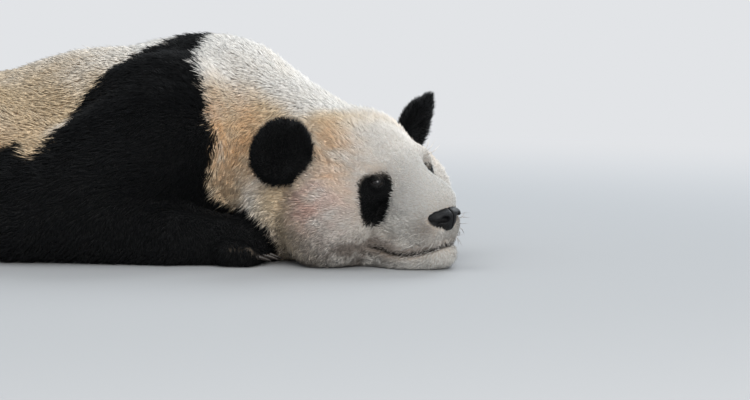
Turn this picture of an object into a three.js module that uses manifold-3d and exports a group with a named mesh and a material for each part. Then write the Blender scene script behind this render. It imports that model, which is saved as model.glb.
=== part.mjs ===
// A life-size giant panda lying flat on its front, chin on the ground and head turned to its right.
// Millimetres, +X forward along the trunk, +Y to the animal's left, +Z up, the ground at z = 0.
// The body is one smooth form, a blend of named masses, and thin cuts part it into head, jaw, neck, trunk, tail
// and the lengths of each leg. Every outline reaches out to the tips of the coat.
import * as THREE from "three";
import { mergeVertices } from "three/addons/utils/BufferGeometryUtils.js";
import Module from "manifold-3d";

const { Vector3, Matrix4 } = THREE;
const wasm = await Module();
wasm.setup();

// ---------------------------------------------------------------- driving sizes
const DEG = Math.PI / 180;
const GAP = 0.35; // width of every cut between two parts

// the head's own frame: x towards the nose, y to its left, z up from the ground under the braincase
const HEAD_AT = [296, -72, 0];
const HEAD_TURN = -27 * DEG;
const HEAD_TILT = 7 * DEG; // right cheek lower than the left
const HEAD_BACK = -84; // where the head is cut from the neck
const EYE_AT = [90, 55, 140];
const EYE_RADIUS = 10;
const EAR_AT = { left: [-18, 142, 186], right: [-16, -148, 197] };
const EAR_RADIUS = 56;
const EAR_THICKNESS = 19;
const EAR_OPENS = 17 * DEG; // outwards from straight ahead
const EAR_NODS = { left: 20 * DEG, right: 8 * DEG }; // each tip ahead of its base
const EAR_LEANS = { left: 43 * DEG, right: 24 * DEG }; // outwards from upright
const EAR_TIP = { up: 41, radius: 30 }; // the left ear is drawn out to a soft tip
const NOSE_AT = [173, 0, 86];

// the body's own frame: x = 0 under the withers
const NECK_FROM = 66; // where the neck is cut from the trunk
const SHOULDER_AT = [-10, 168, 190];
const ELBOW_AT = [-240, 245, 82];
const WRIST_AT = [15, 202, 44];
const FORE_TOES_AT = [108, 176, 32];
const HIP_AT = [-700, 145, 172];
const KNEE_AT = [-520, 262, 140];
const HOCK_AT = [-770, 292, 54];
const HIND_TOES_AT = [-612, 368, 34];
const TAIL_FROM = [-868, 0, 190];
const TAIL_TO = [-945, 0, 100];

const TOES = 5;
const TOE = { knuckle: 23, end: 19, length: 22 }; // radii, and how far the end lies ahead of the knuckle
const FOREPAW = { palm: 53, front: 42 }; // radii at the wrist and behind the toes
const HINDPAW = { palm: 49, front: 41 };
const CLAW_LENGTH = 38;
const CLAW_RADIUS = 5.5;
const CLAW_DROP = 9; // how far the tip bends down
const CLAW_SUNK = 3; // below the middle of the toe's end
const CLAW_OUT = 8; // how far its root stands ahead of the toe's end centre

// grid steps of the surfaces, small where the form is fine
const STEP = { trunk: 77, neck: 56, head: 25.4, ear: 19, leg: 59, shin: 47, paw: 28.4, tail: 29, nose: 10 };
const ROOM = 2.2; // steps of grid beyond what it has to hold
const GROUND = [1200, 800, 200]; // half sizes of the block that the ground cuts away
const FAR = 400; // past the edge of any one part, from its middle

// ---------------------------------------------------------------- forms
// A form is a function of a point: roughly the distance to its surface, negative inside.
const point = (p) => new Vector3(...p);

function egg(centre, radii) {
  const c = point(centre);
  const r = point(radii);
  const q = new Vector3();
  return (p) => {
    q.subVectors(p, c).divide(r);
    const k = q.length();
    return k < 1e-6 ? -Math.min(...radii) : (k * (k - 1)) / q.divide(r).length();
  };
}

// A round limb between two points, with a radius at each.
function limb(from, to, startRadius, endRadius) {
  const a = point(from);
  const along = point(to).sub(a);
  const q = new Vector3();
  return (p) => {
    q.subVectors(p, a);
    const t = THREE.MathUtils.clamp(q.dot(along) / along.lengthSq(), 0, 1);
    return q.addScaledVector(along, -t).length() - THREE.MathUtils.lerp(startRadius, endRadius, t);
  };
}

// Forms run together, with a fillet about as wide as softness.
function blend(softness, ...forms) {
  return (p) =>
    forms.reduce((sum, form) => {
      const d = form(p);
      const h = Math.max(softness - Math.abs(sum - d), 0) / softness;
      return Math.min(sum, d) - (h * h * softness) / 4;
    }, Infinity);
}

// A form with another taken out of it, its edge rounded.
const carve = (softness, form, tool) => (p) => {
  const [a, b] = [-form(p), tool(p)];
  const h = Math.max(softness - Math.abs(a - b), 0) / softness;
  return -(Math.min(a, b) - (h * h * softness) / 4);
};

function placed(form, frame) {
  const inverse = frame.clone().invert();
  const q = new Vector3();
  return (p) => form(q.copy(p).applyMatrix4(inverse));
}

function mirrored(form) {
  const q = new Vector3();
  return (p) => form(q.set(p.x, -p.y, p.z));
}

const bothSides = (softness, form) => blend(softness, form, mirrored(form));
const onSide = (side, [x, y, z]) => [x, side * y, z];
const between = (a, b, share) => point(a).lerp(point(b), share).toArray();

// ---------------------------------------------------------------- surfaces
// The closed surface of a form inside a box [x0, x1, y0, y1, z0, z1], on a grid that may stand in its own frame.
// Where two sheets pinch together on one edge, a slightly finer grid parts them.
function surface(form, box, step, frame = new Matrix4()) {
  for (let size = step; ; size *= 0.97) {
    const geometry = net(form, box, size, frame);
    if (!pinched(geometry.index.array)) return geometry;
  }
}

function pinched(triangles) {
  const seen = new Set();
  return triangles.some((from, n) => {
    const to = triangles[n % 3 === 2 ? n - 2 : n + 1];
    const edge = `${from} ${to}`;
    const again = seen.has(edge);
    seen.add(edge);
    return again;
  });
}

// One point in each cell that the surface crosses, moved onto it, and a face across each crossed grid edge.
function net(form, box, step, frame) {
  const count = [0, 1, 2].map((k) => Math.ceil((box[2 * k + 1] - box[2 * k]) / step) + 1);
  const [nx, ny, nz] = count;
  const at = (i, j, k) => (k * ny + j) * nx + i;
  const place = (i, j, k) => new Vector3(box[0] + i * step, box[2] + j * step, box[4] + k * step);
  const q = new Vector3();
  const here = (p) => form(q.copy(p).applyMatrix4(frame));
  const rim = (i, j, k) => !i || !j || !k || i === nx - 1 || j === ny - 1 || k === nz - 1;
  const nodes = (margin, visit) => {
    for (let k = margin; k < nz - 1; k++)
      for (let j = margin; j < ny - 1; j++)
        for (let i = margin; i < nx - 1; i++) visit(i, j, k);
  };
  const value = new Float64Array(nx * ny * nz).fill(step);
  nodes(1, (i, j, k) => {
    value[at(i, j, k)] = here(place(i, j, k)) || 1e-6;
  });

  const corners = [0, 1, 2, 3, 4, 5, 6, 7].map((c) => [c & 1, (c >> 1) & 1, c >> 2]);
  const edges = corners.flatMap((_, c) => [1, 2, 4].filter((b) => !(c & b)).map((b) => [c, c | b]));
  const cell = new Int32Array(nx * ny * nz).fill(-1);
  const points = [];
  nodes(0, (i, j, k) => {
    const v = corners.map(([a, b, c]) => value[at(i + a, j + b, k + c)]);
    const crossed = edges.filter(([a, b]) => v[a] < 0 !== v[b] < 0);
    if (!crossed.length) return;
    const middle = new Vector3();
    for (const [a, b] of crossed) {
      const [from, to] = [corners[a], corners[b]].map(([x, y, z]) => place(i + x, j + y, k + z));
      middle.add(from.lerp(to, v[a] / (v[a] - v[b])));
    }
    middle.divideScalar(crossed.length);
    const atRim = corners.some(([a, b, c]) => rim(i + a, j + b, k + c));
    cell[at(i, j, k)] = points.push(atRim ? middle : settled(here, middle, step)) - 1;
  });

  const triangles = [];
  const addQuad = (a, b, c, d) => {
    const [pa, pb, pc, pd] = [a, b, c, d].map((n) => points[n]);
    if (pa.distanceTo(pc) < pb.distanceTo(pd)) triangles.push(a, b, c, a, c, d);
    else triangles.push(b, c, d, b, d, a);
  };
  const axes = [[1, 0, 0], [0, 1, 0], [0, 0, 1]];
  const around = [[0, 0], [1, 0], [1, 1], [0, 1]];
  nodes(0, (i, j, k) => {
    const inside = value[at(i, j, k)] < 0;
    axes.forEach(([x, y, z], n) => {
      if (inside === value[at(i + x, j + y, k + z)] < 0) return;
      const [u, v] = [axes[(n + 1) % 3], axes[(n + 2) % 3]];
      const round = around.map(([a, b]) =>
        cell[at(i - a * u[0] - b * v[0], j - a * u[1] - b * v[1], k - a * u[2] - b * v[2])],
      );
      addQuad(...(inside ? round : round.reverse()));
    });
  });
  return new THREE.BufferGeometry().setFromPoints(points).setIndex(triangles).applyMatrix4(frame);
}

// A point moved down the form's slope onto its surface, unless that is far away.
function settled(form, start, step) {
  const e = step / 50;
  const p = start.clone();
  for (let n = 0; n < 4; n++) {
    const d = form(p);
    const slope = new Vector3(
      form(new Vector3(p.x + e, p.y, p.z)) - d,
      form(new Vector3(p.x, p.y + e, p.z)) - d,
      form(new Vector3(p.x, p.y, p.z + e)) - d,
    ).divideScalar(e);
    if (slope.lengthSq() < 0.01) break;
    p.addScaledVector(slope, -d / slope.lengthSq());
  }
  return p.distanceTo(start) < 0.7 * step ? p : start;
}

// ---------------------------------------------------------------- solids
function merged(geometry) {
  const bare = geometry.clone();
  bare.deleteAttribute("normal");
  bare.deleteAttribute("uv");
  return mergeVertices(bare);
}

function solid(geometry) {
  return new wasm.Manifold(
    new wasm.Mesh({
      numProp: 3,
      vertProperties: new Float32Array(geometry.attributes.position.array),
      triVerts: new Uint32Array(geometry.index.array),
    }),
  );
}

// The same closed shape with every face moved outwards by at least the given amount.
function grown(geometry, amount = GAP) {
  const place = geometry.attributes.position;
  const sum = Array.from({ length: place.count }, () => new Vector3());
  const faces = Array.from({ length: place.count }, () => []);
  const corner = (n) => new Vector3().fromBufferAttribute(place, n);
  for (let n = 0; n < geometry.index.count; n += 3) {
    const [a, b, c] = [0, 1, 2].map((m) => geometry.index.getX(n + m));
    const [pa, pb, pc] = [a, b, c].map(corner);
    const normal = pb.clone().sub(pa).cross(pc.clone().sub(pa));
    if (normal.length() < 1e-9) continue;
    normal.normalize();
    [[a, pb, pa, pc], [b, pc, pb, pa], [c, pa, pc, pb]].forEach(([v, p, tip, q]) => {
      const angle = p.clone().sub(tip).angleTo(q.clone().sub(tip));
      sum[v].addScaledVector(normal, angle);
      faces[v].push(normal);
    });
  }
  const moved = sum.map((normal, v) => {
    normal.normalize();
    const least = Math.max(0.35, Math.min(...faces[v].map((face) => face.dot(normal))));
    return corner(v).addScaledVector(normal, amount / least);
  });
  return new THREE.BufferGeometry().setFromPoints(moved).setIndex(geometry.index.clone());
}

// A solid's mesh as a geometry, with corners that nearly touch made one.
function tidied({ vertProperties, triVerts }) {
  const geometry = new THREE.BufferGeometry();
  geometry.setAttribute("position", new THREE.BufferAttribute(vertProperties, 3));
  geometry.setIndex(new THREE.BufferAttribute(triVerts, 1));
  const joined = mergeVertices(geometry, 0.02);
  const index = [...joined.index.array];
  const whole = index.filter((_, n) => {
    const [a, b, c] = index.slice(n - (n % 3), n - (n % 3) + 3);
    return a !== b && b !== c && c !== a;
  });
  return joined.setIndex(whole);
}

function largest(body) {
  return body.decompose().sort((a, b) => b.volume() - a.volume())[0];
}

function block(box, frame = new Matrix4()) {
  const size = [0, 1, 2].map((k) => box[2 * k + 1] - box[2 * k]);
  const centre = [0, 1, 2].map((k) => (box[2 * k + 1] + box[2 * k]) / 2);
  return merged(new THREE.BoxGeometry(...size).translate(...centre)).applyMatrix4(frame);
}

// ---------------------------------------------------------------- the head, in its own frame
const headFrame = new Matrix4()
  .makeTranslation(...HEAD_AT)
  .multiply(new Matrix4().makeRotationZ(HEAD_TURN))
  .multiply(new Matrix4().makeRotationX(HEAD_TILT));

const skull = blend(
  26,
  egg([-14, 0, 137], [112, 110, 102]),
  bothSides(20, egg([10, 87, 92], [81, 72, 81])), // cheeks
  bothSides(26, egg([-20, 40, 177], [54, 46, 56])), // temples
  limb([58, 0, 168], [157, 0, 100], 44, 28), // bridge of the nose
  bothSides(10, egg([132, 22, 106], [41, 27, 27])), // its sides
  bothSides(12, egg([64, 48, 145], [37, 38, 36])), // brows
);
const muzzle = blend(
  12,
  egg([112, 0, 74], [72, 54, 45]),
  bothSides(10, egg([138, 22, 64], [40, 28, 33])), // whisker pads
  bothSides(12, egg([98, 32, 30], [56, 30, 30])), // sides of the jaw
  egg([130, 0, 26], [48, 40, 30]), // chin
);
const throat = egg([14, 0, 50], [98, 92, 58]);
const sockets = bothSides(4, egg([EYE_AT[0] + 20, EYE_AT[1] + 9, EYE_AT[2] + 3], [28, 27, 22]));
const headForm = placed(carve(12, blend(16, skull, muzzle, throat), sockets), headFrame);

// An upright dished oval, opening forwards and outwards.
function earFrame(side) {
  return headFrame
    .clone()
    .multiply(new Matrix4().makeTranslation(...EAR_AT[side]))
    .multiply(new Matrix4().makeRotationZ(SIDES[side] * EAR_OPENS))
    .multiply(new Matrix4().makeRotationY(EAR_NODS[side]))
    .multiply(new Matrix4().makeRotationX(-SIDES[side] * EAR_LEANS[side]));
}

const earOval = egg([0, 0, 0], [EAR_THICKNESS, EAR_RADIUS, EAR_RADIUS]);
const earDish = egg([EAR_THICKNESS + 12, 0, -4], [24, EAR_RADIUS - 14, EAR_RADIUS - 12]);
const earTip = egg([0, -3, EAR_TIP.up], [12, EAR_TIP.radius, EAR_TIP.radius]);
const earShells = { left: carve(8, blend(6, earOval, earTip), earDish), right: carve(8, earOval, earDish) };

const nosePad = carve(
  3,
  blend(8, egg([-2, 0, -2], [22, 31, 14]), egg([4, 0, -13], [12, 10, 12])),
  bothSides(1, egg([17, 13, -5], [9, 5, 4])), // nostrils
);

// ---------------------------------------------------------------- the body
const backbone = blend(
  60,
  egg([-50, 0, 160], [225, 215, 170]), // chest
  egg([-385, 0, 140], [325, 292, 152]), // belly and back
  egg([-670, 0, 158], [222, 250, 162]), // rump
  bothSides(40, egg([-772, 112, 122], [112, 118, 126])), // buttocks
  egg([-195, 0, 186], [188, 155, 146]), // behind the shoulder blades
  egg([-14, 0, 262], [118, 105, 90]), // withers
);
const nape = blend(30, limb([44, 0, 202], [212, -45, 129], 132, 122), egg([168, -48, 92], [88, 156, 96]));
const tailForm = limb(TAIL_FROM, TAIL_TO, 46, 32);

// Each leg is an upper part, which runs into the trunk, and a lower part, which leaves it just below the joint.
const LEAVES_AT = 0.22; // share of the lower leg's length
function foreleg(side) {
  const joints = [SHOULDER_AT, ELBOW_AT, WRIST_AT, FORE_TOES_AT];
  const [shoulder, elbow, wrist, toes] = joints.map((p) => onSide(side, p));
  return {
    upper: blend(30, limb(shoulder, elbow, 104, 82), egg(onSide(side, [-25, 128, 216]), [128, 84, 112])),
    lower: blend(10, limb(between(elbow, wrist, LEAVES_AT), wrist, 72, 52), paw(wrist, toes, FOREPAW, side)),
  };
}

function hindleg(side) {
  const [hip, knee, hock, toes] = [HIP_AT, KNEE_AT, HOCK_AT, HIND_TOES_AT].map((p) => onSide(side, p));
  return {
    upper: blend(30, limb(hip, knee, 118, 96), egg(onSide(side, [-640, 172, 140]), [172, 112, 132])),
    lower: blend(30, limb(between(knee, hock, LEAVES_AT), hock, 78, 52), paw(hock, toes, HINDPAW, side)),
  };
}

// A palm with a row of toes along its front edge.
function paw(root, tip, { palm, front }, side) {
  const toes = toePlaces(root, tip, front, side);
  const forms = toes.map(({ knuckle, end }) => limb(knuckle, end, TOE.knuckle, TOE.end));
  return blend(12, limb(root, tip, palm, front), blend(16, ...forms));
}

function toePlaces(root, tip, front, side) {
  const ahead = point(tip).sub(point(root)).setZ(0).normalize();
  const across = new Vector3(-ahead.y, ahead.x, 0);
  return Array.from({ length: TOES }, (_, n) => {
    const spread = (n - (TOES - 1) / 2) / ((TOES - 1) / 2); // -1 to 1 across the paw
    const out = across.clone().multiplyScalar(spread * (front - 2));
    const reach = front * (0.78 - 0.3 * spread * spread);
    const knuckle = point(tip).add(out).addScaledVector(ahead, reach - TOE.length).setZ(TOE.knuckle + 3);
    const end = point(tip).add(out.clone().multiplyScalar(1.06)).addScaledVector(ahead, reach).setZ(TOE.end);
    return { knuckle: knuckle.toArray(), end: end.toArray(), ahead, spread: spread * side };
  });
}

const SIDES = { left: 1, right: -1 };
const upperLegs = Object.values(SIDES).flatMap((side) => [foreleg(side).upper, hindleg(side).upper]);
const torso = blend(34, blend(50, backbone, nape), ...upperLegs, tailForm);
const bodyForm = blend(26, torso, headForm);

// ---------------------------------------------------------------- parting the body
const materials = {
  black: { color: 0x14161a, roughness: 0.85 },
  white: { color: 0xcfc2ae, roughness: 0.9 },
  nose: { color: 0x1b1c20, roughness: 0.45 },
  eye: { color: 0x0d0806, roughness: 0.08 },
  claw: { color: 0x4a4137, roughness: 0.5 },
};

const panda = new THREE.Group();
const taken = []; // grown solids of every region already cut away
const ground = solid(block([-GROUND[0], GROUND[0], -GROUND[1], GROUND[1], -GROUND[2], 0]));

function add(name, body, finish) {
  const geometry = tidied(largest(body).getMesh());
  geometry.computeVertexNormals();
  const mesh = new THREE.Mesh(geometry, new THREE.MeshStandardMaterial({ ...materials[finish], metalness: 0 }));
  mesh.name = name;
  panda.add(mesh);
}

const cutAway = (body) => taken.reduce((rest, tool) => rest.subtract(tool), body.subtract(ground));

// A whole small piece set into the body.
function inset(name, geometry, finish) {
  add(name, cutAway(solid(geometry)), finish);
  taken.push(solid(grown(geometry)));
}

// What the body holds inside a closed region. Both stand in the same frame, and the grid reaches further.
function part(name, region, step, finish, frame = new Matrix4()) {
  region.computeBoundingBox();
  const { min, max } = region.boundingBox.clone().expandByScalar(ROOM * step);
  const flesh = surface(bodyForm, [min.x, max.x, min.y, max.y, min.z, max.z], step, frame);
  const cutter = region.clone().applyMatrix4(frame);
  add(name, cutAway(solid(flesh).intersect(solid(cutter))), finish);
  taken.push(solid(grown(cutter)));
}

// A side view's outline of [x, z] points, as a slab of the body from one width to another.
function sideSlab(outline, [y0, y1]) {
  const shape = new THREE.Shape().setFromPoints(outline.map(([x, z]) => new THREE.Vector2(x, z)));
  const slab = new THREE.ExtrudeGeometry(shape, { depth: y1 - y0, bevelEnabled: false });
  return merged(slab.rotateX(90 * DEG).translate(0, y1, 0));
}

function boxAround(points, margin) {
  const round = new THREE.Box3().setFromPoints(points.map(point)).expandByScalar(margin);
  return [round.min.x, round.max.x, round.min.y, round.max.y, round.min.z, round.max.z];
}

// ---- small pieces set into the body
// A curved, flattened cone that leaves the toe level and bends down to the ground.
function claw({ end, ahead, spread }) {
  const shape = new THREE.ConeGeometry(CLAW_RADIUS, CLAW_LENGTH, 5, 2).rotateZ(-90 * DEG);
  const place = shape.attributes.position;
  for (let n = 0; n < place.count; n++) {
    const along = place.getX(n) / CLAW_LENGTH + 0.5;
    place.setY(n, place.getY(n) * 0.72);
    place.setZ(n, place.getZ(n) * 1.15 - CLAW_DROP * along * along);
  }
  const heading = Math.atan2(ahead.y, ahead.x) + 0.16 * spread;
  return merged(shape)
    .translate(CLAW_LENGTH / 2 + CLAW_OUT, 0, 0)
    .rotateZ(heading)
    .translate(end[0], end[1], end[2] - CLAW_SUNK);
}

for (const [side, sign] of Object.entries(SIDES)) {
  const feet = {
    forepaw: [WRIST_AT, FORE_TOES_AT, FOREPAW.front],
    foot: [HOCK_AT, HIND_TOES_AT, HINDPAW.front],
  };
  for (const [foot, [root, tip, front]] of Object.entries(feet)) {
    toePlaces(onSide(sign, root), onSide(sign, tip), front, sign).forEach((toe, n) => {
      inset(`claw_${foot}_${side}_${n + 1}`, claw(toe), "claw");
    });
  }
  const eye = merged(new THREE.SphereGeometry(EYE_RADIUS, 9, 6));
  inset(`eye_${side}`, eye.translate(...onSide(sign, EYE_AT)).applyMatrix4(headFrame), "eye");
  const [deep, wide] = [EAR_THICKNESS, EAR_RADIUS].map((size) => size + ROOM * STEP.ear);
  const high = wide + EAR_TIP.up + EAR_TIP.radius - EAR_RADIUS;
  const ear = surface(earShells[side], [-deep, deep, -wide, wide, -wide, high], STEP.ear);
  inset(`ear_${side}`, ear.applyMatrix4(earFrame(side)), "black");
}
const noseFrame = headFrame.clone().multiply(new Matrix4().makeTranslation(...NOSE_AT));
const noseBox = [-38, 38, -42, 42, -42, 42];
inset("nose", surface(nosePad, noseBox, STEP.nose).applyMatrix4(noseFrame), "nose");

// ---- lower legs, each parted by a plane at the wrist or heel and pressed into the flesh beside it
// A block that fills the far side of a plane through a place.
function beyond(at, direction, gap = 0) {
  const turn = new THREE.Quaternion().setFromUnitVectors(new Vector3(1, 0, 0), direction);
  const frame = new Matrix4().compose(point(at), turn, new Vector3(1, 1, 1));
  return solid(block([-gap, FAR, -FAR, FAR, -FAR, FAR], frame));
}

const FLESH = 79; // the lower legs' largest radius
function lowerLeg(form, joints, names, cutDirection) {
  const box = boxAround(joints, FLESH + STEP.paw);
  const shin = surface(form, box, STEP.shin);
  const end = surface(form, box, STEP.paw);
  const past = beyond(joints[1], cutDirection);
  const fromHere = beyond(joints[1], cutDirection, GAP);
  add(names[1], cutAway(solid(end).intersect(past)), "black");
  add(names[0], cutAway(solid(shin).subtract(fromHere)), "black");
  taken.push(solid(grown(shin)).subtract(past).add(solid(grown(end)).intersect(fromHere)));
}

for (const [side, sign] of Object.entries(SIDES)) {
  const fore = [ELBOW_AT, WRIST_AT, FORE_TOES_AT].map((p) => onSide(sign, p));
  const hind = [KNEE_AT, HOCK_AT, HIND_TOES_AT].map((p) => onSide(sign, p));
  const towards = (a, b) => point(b).sub(point(a)).normalize();
  const acrossWrist = towards(fore[0], fore[2]);
  const underShank = towards(hind[1], hind[2]).sub(towards(hind[1], hind[0])).normalize();
  lowerLeg(foreleg(sign).lower, fore, [`forearm_${side}`, `forepaw_${side}`], acrossWrist);
  lowerLeg(hindleg(sign).lower, hind, [`shank_${side}`, `foot_${side}`], underShank);
}

// ---- jaw and head
const MOUTH = [[54, 54], [122, 9], [186, 54]]; // its line from corner to front, a quadratic curve
const HEAD_FRONT = 214; // every cut below reaches past the form's edge on its open sides
const HEAD_WIDE = 182;
const HEAD_TOP = 276;
const BELOW = -32;
const mouthCurve = new THREE.QuadraticBezierCurve(...MOUTH.map(([x, z]) => new THREE.Vector2(x, z)));
const mouthLine = mouthCurve.getPoints(5);
const jawFront = HEAD_FRONT - 2;
const jawOutline = [...mouthLine.map((p) => p.toArray()), [jawFront, 64], [jawFront, BELOW], [26, BELOW]];
part("jaw", sideSlab(jawOutline, [-66, 66]), STEP.head, "white", headFrame);
const headBox = [HEAD_BACK, HEAD_FRONT, -HEAD_WIDE, HEAD_WIDE, BELOW, HEAD_TOP];
part("head", block(headBox), STEP.head, "white", headFrame);

// ---- upper legs, tail, neck and trunk
const UPPER_LEGS = {
  upper_arm: {
    outline: [[-345, -30], [-345, 120], [-150, 285], [-40, 345], [55, 300], [60, 160], [-20, 60], [-20, -30]],
    inner: 122, // from the middle of the body
  },
  thigh: {
    outline: [[-440, -30], [-440, 150], [-520, 235], [-700, 300], [-830, 210], [-830, -30]],
    inner: 150,
  },
};
for (const [side, sign] of Object.entries(SIDES)) {
  for (const [name, { outline, inner }] of Object.entries(UPPER_LEGS)) {
    part(`${name}_${side}`, sideSlab(outline, sign > 0 ? [inner, FAR] : [-FAR, -inner]), STEP.leg, "black");
  }
}
const tailSlope = Math.atan2(TAIL_FROM[2] - TAIL_TO[2], TAIL_FROM[0] - TAIL_TO[0]);
const tailFrame = new Matrix4().makeTranslation(...TAIL_FROM).multiply(new Matrix4().makeRotationY(-tailSlope));
part("tail", block([-170, -16, -58, 58, -60, 60]), STEP.tail, "white", tailFrame);
part("neck", block([NECK_FROM, NECK_FROM + FAR, -300, 300, -30, FAR]), STEP.neck, "white");
const trunkBox = [-1080, 260, -420, 420, -110, 500];
add("trunk", cutAway(solid(surface(bodyForm, trunkBox, STEP.trunk))), "white");

// ---------------------------------------------------------------- origin under the middle of the whole animal
const whole = new THREE.Box3().setFromObject(panda);
const middle = whole.getCenter(new Vector3());
panda.position.set(-middle.x, -middle.y, -whole.min.z);
panda.updateMatrixWorld(true);

export default panda;
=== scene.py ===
# A life-size giant panda lying flat on its front, chin on the ground, its head turned to its right.
# One skin follows the body's forms a coat's depth inside them, and tufts of solid hair stand on it.
# The forms are written in millimetres in the body's own frame: x forward from the withers, y to the
# animal's left, z up from the ground. Meshes are in metres in the shared frame.
import math
from contextlib import contextmanager

import bmesh
import bpy
import numpy as np
from mathutils import Matrix, Vector


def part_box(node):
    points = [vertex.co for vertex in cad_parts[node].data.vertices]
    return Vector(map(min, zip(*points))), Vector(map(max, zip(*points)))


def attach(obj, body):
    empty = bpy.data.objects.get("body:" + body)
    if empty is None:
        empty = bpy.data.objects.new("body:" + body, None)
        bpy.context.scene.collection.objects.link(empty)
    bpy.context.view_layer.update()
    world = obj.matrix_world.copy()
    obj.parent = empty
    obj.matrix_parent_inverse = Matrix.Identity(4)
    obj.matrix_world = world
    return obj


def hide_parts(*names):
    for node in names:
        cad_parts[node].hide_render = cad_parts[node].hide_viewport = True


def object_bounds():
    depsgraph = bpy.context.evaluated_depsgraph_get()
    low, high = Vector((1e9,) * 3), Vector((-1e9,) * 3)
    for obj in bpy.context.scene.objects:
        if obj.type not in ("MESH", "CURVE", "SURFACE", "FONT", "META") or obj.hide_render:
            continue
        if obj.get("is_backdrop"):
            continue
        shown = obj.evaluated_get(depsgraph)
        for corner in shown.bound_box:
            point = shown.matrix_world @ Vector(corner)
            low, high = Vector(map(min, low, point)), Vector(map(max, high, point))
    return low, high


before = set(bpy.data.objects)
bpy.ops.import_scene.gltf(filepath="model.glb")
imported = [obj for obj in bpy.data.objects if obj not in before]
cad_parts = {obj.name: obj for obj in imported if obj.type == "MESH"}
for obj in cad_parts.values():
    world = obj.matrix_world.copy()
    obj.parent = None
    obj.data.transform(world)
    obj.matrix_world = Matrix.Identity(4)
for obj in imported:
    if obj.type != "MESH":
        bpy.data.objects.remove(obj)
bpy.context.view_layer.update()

DEG = math.pi / 180
MM = 0.001

# ---- sizes shared with the solids
HEAD_AT = [296, -72, 0]
HEAD_TURN = -27 * DEG
HEAD_TILT = 7 * DEG
EYE_AT = [90, 55, 140]
EYE_RADIUS = 10
EAR_AT = {1: [-18, 142, 186], -1: [-16, -148, 197]}
EAR_RADIUS = 56
EAR_THICKNESS = 19
EAR_OPENS = 17 * DEG
EAR_NODS = {1: 20 * DEG, -1: 8 * DEG}
EAR_LEANS = {1: 43 * DEG, -1: 24 * DEG}
NOSE_AT = [173, 0, 86]
SHOULDER_AT = [-10, 168, 190]
ELBOW_AT = [-240, 245, 82]
WRIST_AT = [15, 202, 44]
FORE_TOES_AT = [108, 176, 32]
HIP_AT = [-700, 145, 172]
KNEE_AT = [-520, 262, 140]
HOCK_AT = [-770, 292, 54]
HIND_TOES_AT = [-612, 368, 34]
TAIL_FROM = [-868, 0, 190]
TAIL_TO = [-945, 0, 100]
TOES = 5
CLAW_LENGTH = 38
CLAW_RADIUS = 5.5
CLAW_ROOT = 6  # the part of a claw that is sunk in its toe
SIDES = {"left": 1, "right": -1}
FORE_JOINTS = (SHOULDER_AT, ELBOW_AT, WRIST_AT, FORE_TOES_AT)
HIND_JOINTS = (HIP_AT, KNEE_AT, HOCK_AT, HIND_TOES_AT)
FORE_PALM, HIND_PALM = 42, 41  # how wide the front of a paw is, from its middle
REACH = 50  # a form further off than this doesn't bend another one
SKIN_FLOOR, HAIR_FLOOR = 0.8, 0.6  # nothing of the skin or of the hair lies lower


# ---- forms
# A form is a function of an array of points: roughly the distance to its surface, negative inside.
def length(v):
    return np.sqrt(np.einsum("...i,...i->...", v, v))


def unit(v):
    return v / np.maximum(length(v)[..., None], 1e-9)


def egg(centre, radii):
    c, r = np.array(centre, float), np.array(radii, float)

    def form(p):
        q = (p - c) / r
        k = length(q)
        return k * (k - 1) / np.maximum(length(q / r), 1e-9)

    return form


def limb(start, end, start_radius, end_radius):
    a, b = np.array(start, float), np.array(end, float)
    along = b - a

    def form(p):
        q = p - a
        t = np.clip(q @ along / (along @ along), 0, 1)
        return length(q - t[..., None] * along) - (start_radius + (end_radius - start_radius) * t)

    return form


def melt(softness, a, b):
    h = np.maximum(softness - np.abs(a - b), 0) / softness
    return np.minimum(a, b) - h * h * softness / 4


def blend(softness, *forms):
    def form(p):
        d = forms[0](p)
        for other in forms[1:]:
            d = melt(softness, d, other(p))
        return d

    return form


def carve(softness, form, tool):
    return lambda p: -melt(softness, -form(p), tool(p))


def placed(form, place):
    turn, at = place[:3, :3], place[:3, 3]
    return lambda p: form((p - at) @ turn)


def nearby(form, places, radius):
    """The form, worked out only near a box round some places, and elsewhere the distance to that box."""
    low, high = np.min(places, 0) - radius, np.max(places, 0) + radius

    def near_form(p):
        away = length(np.maximum(np.maximum(low - p, p - high), 0))
        d, near = away + REACH / 2, away < REACH
        if near.any():
            d[near] = form(p[near])
        return d

    return near_form


def both_sides(softness, form):
    return blend(softness, form, lambda p: form(p * [1, -1, 1]))


def on_side(side, p):
    return [p[0], side * p[1], p[2]]


def folded(p):
    """Points of either side brought over to the left one."""
    return np.stack([p[..., 0], np.abs(p[..., 1]), p[..., 2]], -1)


def between(a, b, share):
    return [x + (y - x) * share for x, y in zip(a, b)]


def frame_of(*steps):
    place = np.eye(4)
    for step in steps:
        place = place @ np.array(step)
    return place


def smooth(low, high, x):
    t = np.clip((x - low) / (high - low), 0, 1)
    return t * t * (3 - 2 * t)


def bump(x, width):
    return np.exp(-((x / width) ** 2))


def spot(p, middle, width, stretch=1.0):
    """1 at its middle, fading out all round it."""
    return bump(length((p - middle) / stretch), width)


def turn(angle, axis):
    return Matrix.Rotation(angle, 4, axis)


HEAD = frame_of(Matrix.Translation(HEAD_AT), turn(HEAD_TURN, "Z"), turn(HEAD_TILT, "X"))


def ear_frame(side):
    opened = frame_of(HEAD, Matrix.Translation(EAR_AT[side]), turn(side * EAR_OPENS, "Z"))
    return frame_of(opened, turn(EAR_NODS[side], "Y"), turn(-side * EAR_LEANS[side], "X"))


def to_frame(p, place):
    return (p - place[:3, 3]) @ place[:3, :3]


def from_frame(p, place):
    return np.asarray(p, float) @ place[:3, :3].T + place[:3, 3]


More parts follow.
